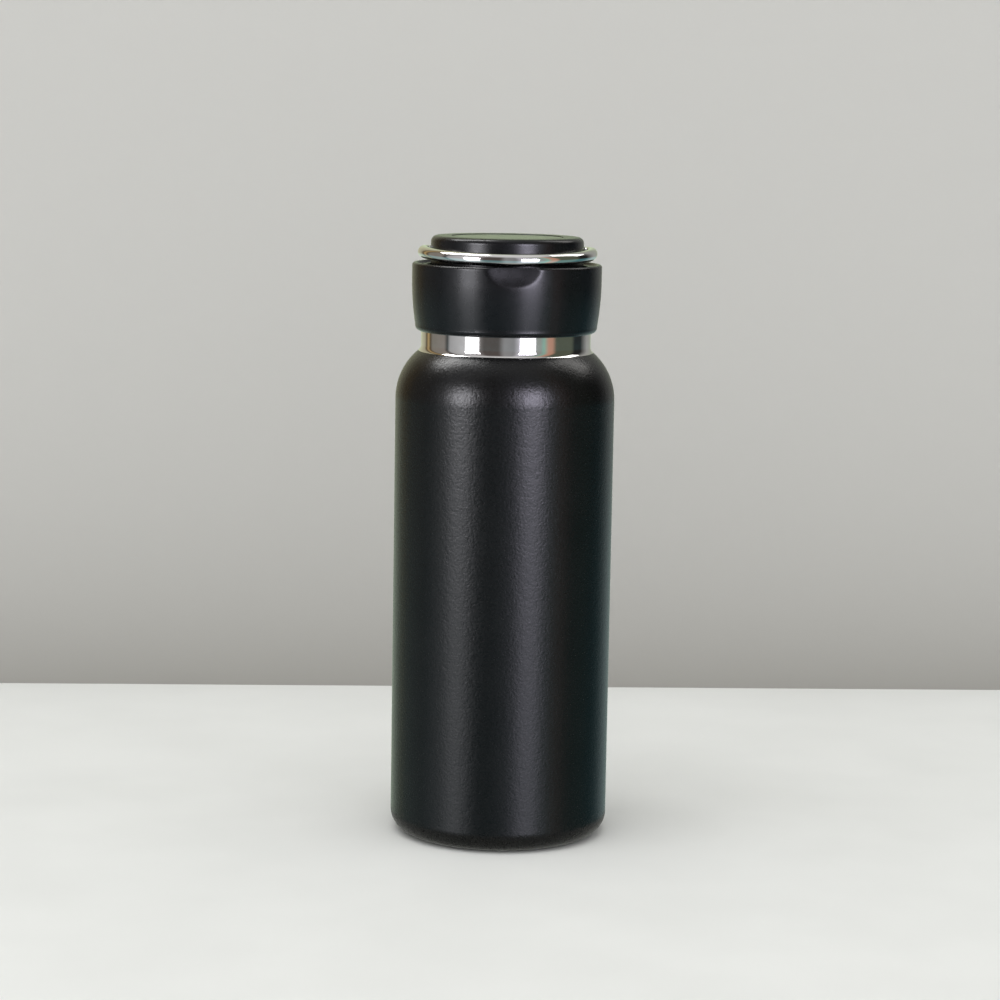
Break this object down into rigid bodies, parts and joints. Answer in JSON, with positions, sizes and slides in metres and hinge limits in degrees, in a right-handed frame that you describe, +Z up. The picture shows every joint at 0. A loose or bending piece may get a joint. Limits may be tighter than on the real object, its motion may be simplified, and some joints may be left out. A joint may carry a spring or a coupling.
{
  "type": "vacuum flask",
  "caption": "Double-walled steel drinks flask with a round shoulder, bare steel neck, screw lid with a thumb notch, raised boss and folding wire carry ring.",
  "frame": {"origin": "centre of the flat underside, on the flask's axis", "axes": "+Z up along the flask's axis; -Y towards the front, where the thumb notch and the resting carry ring are; +X to the right seen from the front"},
  "size_m": [0.073, 0.073, 0.2008],
  "materials": {
    "powder_coat": "matt fine-textured powder coat",
    "polished_steel": "mirror polished stainless steel",
    "liner_steel": "satin stainless steel",
    "getter": "sintered metal",
    "seal_bead": "fused glass bead",
    "black_plastic": "satin moulded polypropylene",
    "inlay_plastic": "semi-gloss moulded plastic",
    "white_plastic": "natural white polypropylene",
    "foam": "closed-cell insulating foam",
    "silicone": "translucent white silicone",
    "screw_steel": "plain stainless screws"
  },
  "bodies": {
    "flask": {"outer_shell": "powder_coat", "neck_ring": "polished_steel", "inner_liner": "liner_steel", "liner_base": "liner_steel", "vacuum_base": "liner_steel", "seal_bead": "seal_bead", "getter_cup": "liner_steel", "getter_pellet": "getter", "base_cap": "powder_coat"},
    "seal": {"lid_gasket": "silicone"},
    "lid": {"lid_shell": "black_plastic", "lid_liner": "white_plastic", "lid_foam": "foam", "handle_boss": "black_plastic", "top_inlay": "inlay_plastic", "pivot_bush_left": "black_plastic", "pivot_bush_right": "black_plastic", "boss_screw_1": "screw_steel", "boss_screw_2": "screw_steel", "boss_screw_3": "screw_steel"},
    "ring": {"carry_ring": "polished_steel"}
  },
  "joints": [
    {"name": "lid_lift", "type": "slide", "parent": "flask", "child": "seal", "axis": [0, 0, 1], "range_m": [0, 0.017]},
    {"name": "lid_turn", "type": "hinge", "parent": "seal", "child": "lid", "pos_m": [0, 0, 0.1849], "axis": [0, 0, 1], "range_deg": [0, 1530]},
    {"name": "ring_fold", "type": "hinge", "parent": "lid", "child": "ring", "pos_m": [0, 0, 0.1956], "axis": [-1, 0, 0], "range_deg": [0, 185]}
  ],
  "couplings": [
    {"joint": "lid_lift", "follows": "lid_turn", "m_per_rad": 0.00063662}
  ]
}
